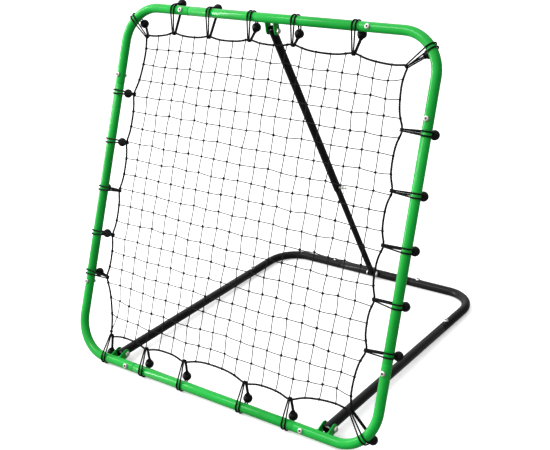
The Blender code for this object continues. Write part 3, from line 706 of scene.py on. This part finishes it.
# --- Ball bungees -------------------------------------------------------------
# Each is one elastic cord, doubled round the tube and the net's border rope, with
# its ends held in a moulded ball and its bight hooked over the ball's neck.
CORD_R = 0.0020
CORD_LIFT = 0.0003
BALL_R = 0.012
BALL_DEPTH = 0.025
ROPE_R = 0.0025
ROPE_PLAY = 0.0004
BOW_POWER = 3
SPREAD_AT_TUBE = 0.0052
SPREAD = CORD_R + 0.0001
MM = 0.001
# A station along its side: 1 is the seam, 2 the bend's start and 3 its end, signed from
# the side's middle.  Then the rope, and the ball: towards the net and along the side.
LACING = [
    ("top_left_corner_bungee", "top", 2.54, (61, -1), (14, 0)),
    ("top_bungee_1", "top", 1.44, (59, -6), (-21, 3)),
    ("top_bungee_2", "top", 0.73, (59, -5), (-16, 0)),
    ("top_bungee_3", "top", 0.22, (56, -3), (23, 0)),
    ("top_bungee_4", "top", -0.29, (56, -2), (29, 1)),
    ("top_bungee_5", "top", -0.95, (61, -5), (15, -3)),
    ("top_right_corner_bungee", "right", 2.45, (62, 0), (20, 3)),
    ("right_bungee_1", "right", 0.965, (58, 0), (-8, 0)),
    ("right_bungee_2", "right", 0.44, (58, 0), (-6, 0)),
    ("right_bungee_3", "right", -0.03, (57, 0), (-8, 0)),
    ("right_bungee_4", "right", -0.51, (57, 2), (-8, 0)),
    ("right_bungee_5", "right", -0.93, (55, -4), (-12, -2)),
    ("bottom_right_corner_bungee", "bottom", 2.53, (61, 6), (-11, 2)),
    ("bottom_bungee_4", "bottom", 0.90, (56, -2), (16, 0)),
    ("bottom_bungee_3", "bottom", 0.37, (57, 3), (19, 0)),
    ("bottom_bungee_2", "bottom", -0.37, (57, -5), (19, -7)),
    ("bottom_bungee_1", "bottom", -0.88, (55, -2), (16, -5)),
    ("bottom_left_corner_bungee", "bottom", -1.94, (56, 2), (10, -8)),
    ("left_bungee_5", "left", 0.99, (59, 2), (7, 0)),
    ("left_bungee_4", "left", 0.57, (57, -4), (14, 0)),
    ("left_bungee_3", "left", 0.10, (57, -2), (-14, 0)),
    ("left_bungee_2", "left", -0.40, (57, -3), (18, 0)),
    ("left_bungee_1", "left", -0.91, (56, 0), (13, 0)),
]
ROPE_SAG = {"top": 0.075, "right": 0.120, "bottom": 0.100, "left": 0.085}
ROPE_STEPS = 14
CORD_STEP = 0.004
BIGHT_WIDTH, BIGHT_DEPTH = 0.0060, 0.0048
BIGHT_PLACE, BIGHT_WAVE = 0.0118, 0.0010
BIGHT_STEPS = 20
MOULD_LINE = 0.00025
BALL_STEPS = 24


def station(side, count):
    """Axes at a place on a side: 1 is the seam, 2 the bend's start and 3 its end."""
    size, sign = abs(count), math.copysign(1, count)
    if size <= 1:
        return sides[side] @ Matrix.Translation((count * seam, 0, 0))
    if size <= 2:
        reach = sign * (seam + (size - 1) * FRAME_SLEEVE)
        return sides[side] @ Matrix.Translation((reach, 0, 0))
    return (sides[side] @ Matrix.Translation((sign * (seam + FRAME_SLEEVE), FRAME_BEND, 0))
            @ Matrix.Rotation(sign * (size - 2) * math.pi / 2, 4, "Z")
            @ Matrix.Translation((0, -FRAME_BEND, 0)))


def braid(name, dark, light, plait_length, plaits):
    """A braided sheath: two sets of plaits that cross, in U round and V along the cord."""
    paint = Paint(name, 0.75, 0.12)
    uv = paint.add("ShaderNodeTexCoord", out="UV")
    around = paint.add("ShaderNodeSeparateXYZ", {}, {0: uv}) * (2 * math.pi * plaits)
    along = paint.add("ShaderNodeSeparateXYZ", {}, {0: uv}, out=1) * (2 * math.pi / plait_length)
    left = paint.add("ShaderNodeMath", {"operation": "SINE"}, {0: around + along})
    right = paint.add("ShaderNodeMath", {"operation": "SINE"}, {0: around - along})
    weave = left * right * 0.5 + 0.5
    fuzz = paint.noise(5200.0, 2.0)
    paint.surface(paint.blend(weave * (0.6 + 0.4 * fuzz), dark, light), 0.95 - 0.35 * weave)
    paint.bumped(weave + 0.25 * fuzz, 0.0004, 0.8)
    return paint.material


bungee_cord = braid("braided_bungee_sheath", (0.001, 0.001, 0.0015), (0.010, 0.010, 0.012),
                    0.0032, 4)

moulded = Paint("moulded_ball", 0.38, 0.18)
mould_grain = moulded.noise(2400.0, 2.0)
scuffs = moulded.smooth(moulded.noise(160.0, 4.0), 0.55, 0.75)
moulded.surface(moulded.blend(scuffs, (0.003, 0.0025, 0.004), (0.011, 0.010, 0.013)),
                0.30 + 0.25 * mould_grain)
moulded.bumped(mould_grain, 0.0001, 0.3)
ball_plastic = moulded.material


def sweep(shape, points, side, radius, count=8, closed=True):
    """A round cord along points, its rings turned to keep local X near side."""
    rows = []
    total = len(points)
    for index, point in enumerate(points):
        before = points[index - 1] if closed or index else point
        after = points[(index + 1) % total] if closed or index < total - 1 else point
        heading = (after - before).normalized()
        right = (side - heading * side.dot(heading)).normalized()
        up = heading.cross(right)
        rows.append(ring(Matrix((
            (right.x, up.x, heading.x, point.x), (right.y, up.y, heading.y, point.y),
            (right.z, up.z, heading.z, point.z), (0, 0, 0, 1))), radius, count))
    shape.loft(rows, closed)


anchors = []
for name, side, count, (rope_in, rope_along), _ in LACING:
    spot = station(side, count) @ Vector((rope_along * MM, rope_in * MM, 0))
    anchors.append((spot, side, "corner" in name))
net_middle = net_plane @ Vector((0, 0, half_frame))
to_front = (net_plane.to_3x3() @ Vector((0, -1, 0))).normalized()
rope_line = []
for index, (start, side, turning) in enumerate(anchors):
    end, next_side, _ = anchors[(index + 1) % len(anchors)]
    across = (end - start).normalized()
    inward = net_middle - (start + end) / 2
    inward = (inward - across * inward.dot(across)).normalized()
    sag = ROPE_SAG[next_side if turning else side] * (end - start).length
    for step in range(ROPE_STEPS):
        share = step / ROPE_STEPS
        rope_line.append(start.lerp(end, share) + inward * sag * (1 - abs(2 * share - 1) ** BOW_POWER))
for _ in range(2):
    rope_line = [(rope_line[index - 1] + 2 * point + rope_line[(index + 1) % len(rope_line)]) / 4
                 for index, point in enumerate(rope_line)]


def bungee(name, place, rope_spot, ball_in, ball_along):
    """The doubled cord round tube, rope and ball, and the ball with its hooked bight."""
    loops = [(disc((0, 0), TUBE_R + CORD_LIFT + CORD_R, 28), 0.0, SPREAD_AT_TUBE),
             (disc((rope_spot.y, rope_spot.z), ROPE_R + ROPE_PLAY + CORD_R, 16),
              rope_spot.x, SPREAD),
             (disc((ball_in, -BALL_DEPTH), 0.0030, 8), ball_along, SPREAD)]
    around = {point: (along, spread) for points, along, spread in loops for point in points}
    outline = hull([point for points, _, _ in loops for point in points])
    path = [Vector((*around[point], *point)) for point in outline]
    fine = []
    for index, point in enumerate(path):
        pieces = max(1, round((path[index - 1].zw - point.zw).length / CORD_STEP))
        fine += [path[index - 1].lerp(point, (step + 1) / pieces) for step in range(pieces)]
    cords = Shape()
    for lane in (-1, 1):
        sweep(cords, [place @ Vector((along + lane * spread, y, z))
                      for along, spread, y, z in fine],
              place.to_3x3() @ Vector((1, 0, 0)), CORD_R)
    centre = Vector((ball_along, ball_in, -BALL_DEPTH))
    toward = (rope_spot - centre).normalized()
    ball_axes = place @ Matrix.Translation(centre) @ toward.to_track_quat("Z", "X").to_matrix() \
        .to_4x4()
    bight = []
    for step in range(BIGHT_STEPS):
        angle = 2 * math.pi * step / BIGHT_STEPS
        bight.append(ball_axes @ Vector((BIGHT_WIDTH * math.cos(angle),
                                         BIGHT_DEPTH * math.sin(angle),
                                         BIGHT_PLACE + BIGHT_WAVE * math.cos(2 * angle))))
    sweep(cords, bight, ball_axes.to_3x3() @ Vector((0, 0, 1)), CORD_R)
    cords.place(f"{name}_cord", bungee_cord, "bungee", "frame", name)
    ball = Shape()
    profile = [(-0.0098, 0.0012), (-BALL_R * 0.985, 0.0026)]
    for step in range(1, BALL_STEPS):
        angle = math.pi * (0.07 + 0.86 * step / BALL_STEPS)
        mould_line = MOULD_LINE if step == BALL_STEPS // 2 else 0.0
        profile.append((-BALL_R * math.cos(angle), BALL_R * math.sin(angle) + mould_line))
    profile += [(BALL_R * 0.985, 0.0026), (0.0098, 0.0012)]
    ball.loft(turned(ball_axes, profile, 28))
    ball.place(f"{name}_ball", ball_plastic, "bungee", "frame")


for index, (name, side, count, _, (ball_in, ball_along)) in enumerate(LACING):
    spot = station(side, count)
    rope_spot = spot.inverted() @ rope_line[index * ROPE_STEPS]
    bungee(name, spot, rope_spot, ball_in * MM, ball_along * MM)

# --- Border rope --------------------------------------------------------------
# A three-strand black rope, 6 mm over its strands and spliced into one loop.  Each
# bungee pulls it out to a point and it bows back towards the net in between.
ROPE_LAY = 0.014
STRAND_R = 0.0016
STRAND_OFFSET = 0.0014

rope_length = sum((point - rope_line[index - 1]).length for index, point in enumerate(rope_line))
rope_turns = round(rope_length / ROPE_LAY)


def resampled(points, spacing):
    """Points a constant distance apart along a closed line."""
    total = sum((point - points[index - 1]).length for index, point in enumerate(points))
    count = round(total / spacing)
    even, travelled, index = [], 0.0, 0
    ahead = (points[1] - points[0]).length
    for step in range(count):
        goal = step * total / count
        while travelled + ahead < goal:
            travelled += ahead
            index += 1
            ahead = (points[(index + 1) % len(points)] - points[index % len(points)]).length
        share = (goal - travelled) / ahead
        even.append(points[index % len(points)].lerp(points[(index + 1) % len(points)], share))
    return even


rope_fibre = braid("twisted_rope_fibre", (0.001, 0.001, 0.0015), (0.012, 0.012, 0.014), 0.006, 6)
rope = Shape()
rope_even = resampled(rope_line, 0.0026)
for strand in range(3):
    path = []
    for index, point in enumerate(rope_even):
        heading = (rope_even[(index + 1) % len(rope_even)] - rope_even[index - 1]).normalized()
        aside = heading.cross(to_front)
        angle = 2 * math.pi * (rope_turns * index / len(rope_even) + strand / 3)
        path.append(point + STRAND_OFFSET * (math.cos(angle) * to_front
                                             + math.sin(angle) * aside))
    sweep(rope, path, to_front, STRAND_R, count=7)
rope.place("border_rope_strands", rope_fibre, "rope", "frame", "border_rope")

# --- Net ----------------------------------------------------------------------
# Black square-mesh net of thin twine with a knot at each crossing, nineteen cells
# each way, its outer row tied to the border rope so that the rope's bows pull it.
CELLS = 19
TWINE_R = 0.00125
KNOT_R = 0.0028
SLACK = 0.0011
NET_LEFT, NET_RIGHT, NET_LOW, NET_HIGH = -0.414, 0.414, 0.074, 0.906

spun = Paint("net_twine", 0.8, 0.10)
fuzz = spun.noise(3000.0, 3.0)
stretched = spun.add("ShaderNodeVectorMath", {"operation": "MULTIPLY"},
                     {0: spun.add("ShaderNodeTexCoord", out="UV"), 1: (1.0, 420.0, 1.0)})
twist = spun.add("ShaderNodeTexWave", {"bands_direction": "DIAGONAL"},
                 {"Vector": stretched, "Scale": 1.0, "Distortion": 0.6}, out=1)
spun.surface(spun.blend(twist * 0.7 + fuzz * 0.3, (0.003, 0.003, 0.004), (0.022, 0.022, 0.024)),
             0.9 - 0.2 * twist)
spun.bumped(twist + 0.3 * fuzz, 0.0003, 0.7)
twine = spun.material

to_plane = net_plane.inverted()
rope_flat = [to_plane @ point for point in rope_even]


def near_rope(x, h):
    """The rope's nearest point to a place on the net's regular outline."""
    return min(rope_flat, key=lambda point: (point.x - x) ** 2 + (point.z - h) ** 2).copy()


chance = random.Random(41)
knots = {}
for column in range(CELLS + 1):
    for row in range(CELLS + 1):
        x = NET_LEFT + (NET_RIGHT - NET_LEFT) * column / CELLS
        h = NET_LOW + (NET_HIGH - NET_LOW) * row / CELLS
        edge = column in (0, CELLS) or row in (0, CELLS)
        knots[column, row] = near_rope(x, h) if edge else Vector((x, 0, h))
inner = [key for key in knots if 0 < key[0] < CELLS and 0 < key[1] < CELLS]
for _ in range(260):
    for column, row in inner:
        knots[column, row] = (knots[column - 1, row] + knots[column + 1, row]
                              + knots[column, row - 1] + knots[column, row + 1]) / 4
for key in inner:
    knots[key] = knots[key] + Vector((chance.uniform(-0.0022, 0.0022),
                                      chance.uniform(-0.0010, 0.0010),
                                      chance.uniform(-0.0026, 0.0026)))

net = Shape()
for (column, row), start in knots.items():
    for step_column, step_row in ((1, 0), (0, 1)):
        end = knots.get((column + step_column, row + step_row))
        both_edges = (row in (0, CELLS) and step_column) or (column in (0, CELLS) and step_row)
        if end is None or both_edges:
            continue
        sag = Vector((chance.uniform(-1, 1) * SLACK, chance.uniform(-1, 1) * SLACK * 0.6,
                      chance.uniform(-1.2, 0.4) * SLACK))
        points = [net_plane @ (start.lerp(end, share) + sag * (4 * share * (1 - share)))
                  for share in (0.0, 0.2, 0.4, 0.6, 0.8, 1.0)]
        sweep(net, points, to_front, TWINE_R, count=5, closed=False)
for key, centre in knots.items():
    turn = Matrix.Rotation(chance.uniform(0, 2 * math.pi), 4, "Y")
    size = KNOT_R * chance.uniform(0.85, 1.15)
    curl = []
    for step in range(15):
        angle = 2 * math.pi * step / 15
        curl.append(net_plane @ (centre + turn @ Vector((
            size * (math.sin(angle) + 2 * math.sin(2 * angle)) / 3,
            size * 0.55 * math.sin(3 * angle),
            size * (math.cos(angle) - 2 * math.cos(2 * angle)) / 3))))
    if key in inner:
        sweep(net, curl, to_front, TWINE_R * 1.05, count=5)
    else:
        wrap = [net_plane @ (centre + Vector((0.0, -(ROPE_R + TWINE_R) * math.cos(angle),
                                              (ROPE_R + TWINE_R) * math.sin(angle))))
                if key[0] in (0, CELLS) and key[1] not in (0, CELLS) else
                net_plane @ (centre + Vector(((ROPE_R + TWINE_R) * math.sin(angle),
                                              -(ROPE_R + TWINE_R) * math.cos(angle), 0.0)))
                for angle in (2 * math.pi * step / 12 for step in range(12))]
        sweep(net, wrap, to_front, TWINE_R, count=5)
        sweep(net, curl, to_front, TWINE_R * 1.05, count=5)
net.place("net_mesh", twine, "net_twine", "frame", "net")
